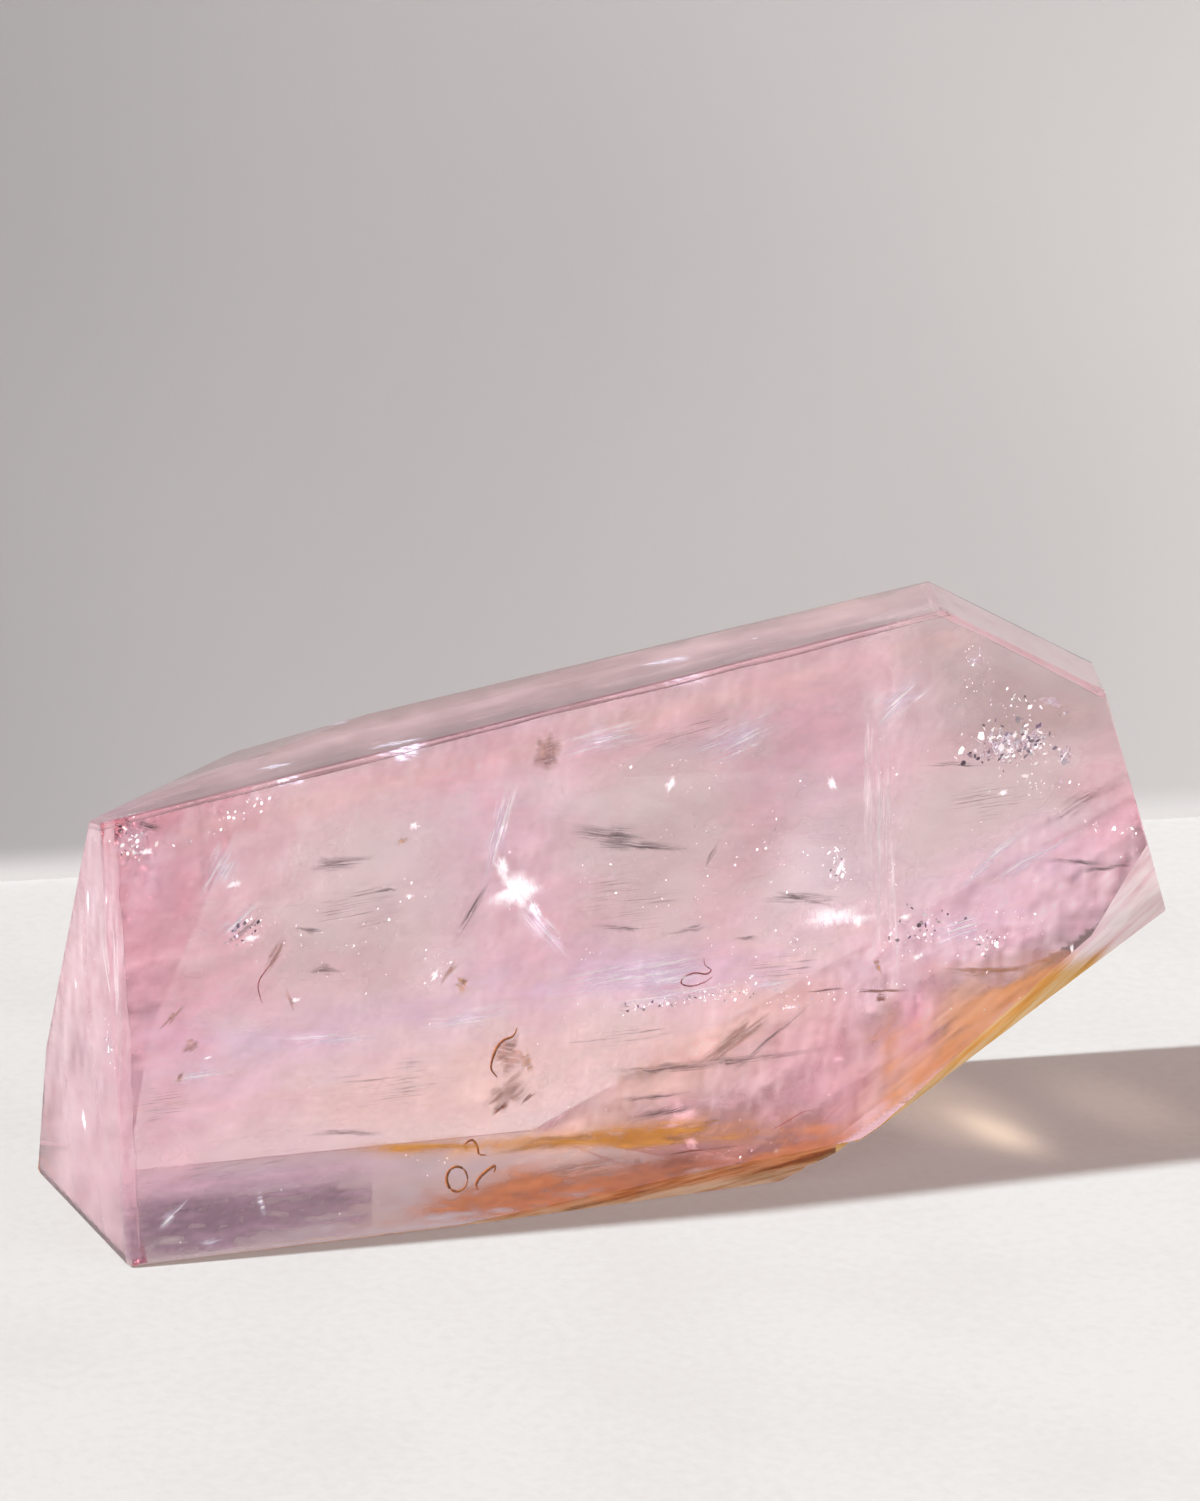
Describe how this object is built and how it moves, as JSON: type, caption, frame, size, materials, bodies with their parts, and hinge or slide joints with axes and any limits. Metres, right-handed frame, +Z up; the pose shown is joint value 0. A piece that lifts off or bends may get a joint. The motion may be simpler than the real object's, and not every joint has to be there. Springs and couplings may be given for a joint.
{
  "type": "rose quartz freeform",
  "caption": "Polished, faceted freeform of clear pale pink rose quartz, lying on its flat base, with an overhanging end and a few natural broken faces.",
  "frame": {"origin": "centre of the object's box, at the level of its flat base", "axes": "+X along the length towards the overhanging end, the broad front facet faces -Y, +Z up"},
  "size_m": [0.1066, 0.0324, 0.0534],
  "materials": {
    "rose_quartz": "polished clear rose quartz, pale pink, with iron-stained fractures"
  },
  "bodies": {
    "root": {"rose_quartz": "rose_quartz"}
  },
  "joints": []
}
